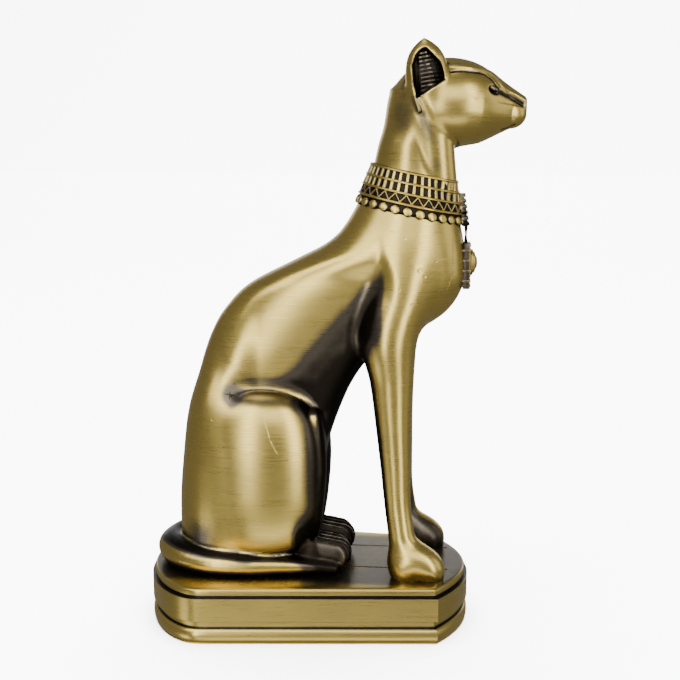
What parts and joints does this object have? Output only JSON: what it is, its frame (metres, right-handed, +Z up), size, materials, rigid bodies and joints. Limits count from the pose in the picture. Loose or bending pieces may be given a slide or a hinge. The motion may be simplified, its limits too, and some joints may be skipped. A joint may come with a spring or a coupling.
{
  "type": "egyptian cat figurine",
  "caption": "Seated cat of the ancient Egyptian kind with a bead collar, cast in antique brass finish with its moulded plinth, to stand on a flat surface.",
  "frame": {"origin": "the middle of the plinth's flat underside, on the cat's plane of symmetry", "axes": "+Z up, +X towards the cat's face, +Y to the cat's left"},
  "size_m": [0.0967, 0.0498, 0.1497],
  "materials": {
    "antique_brass": "brushed antique brass plate, satin, with brown-black patina in the recesses"
  },
  "bodies": {
    "root": {"cat": "antique_brass", "plinth": "antique_brass"}
  },
  "joints": []
}
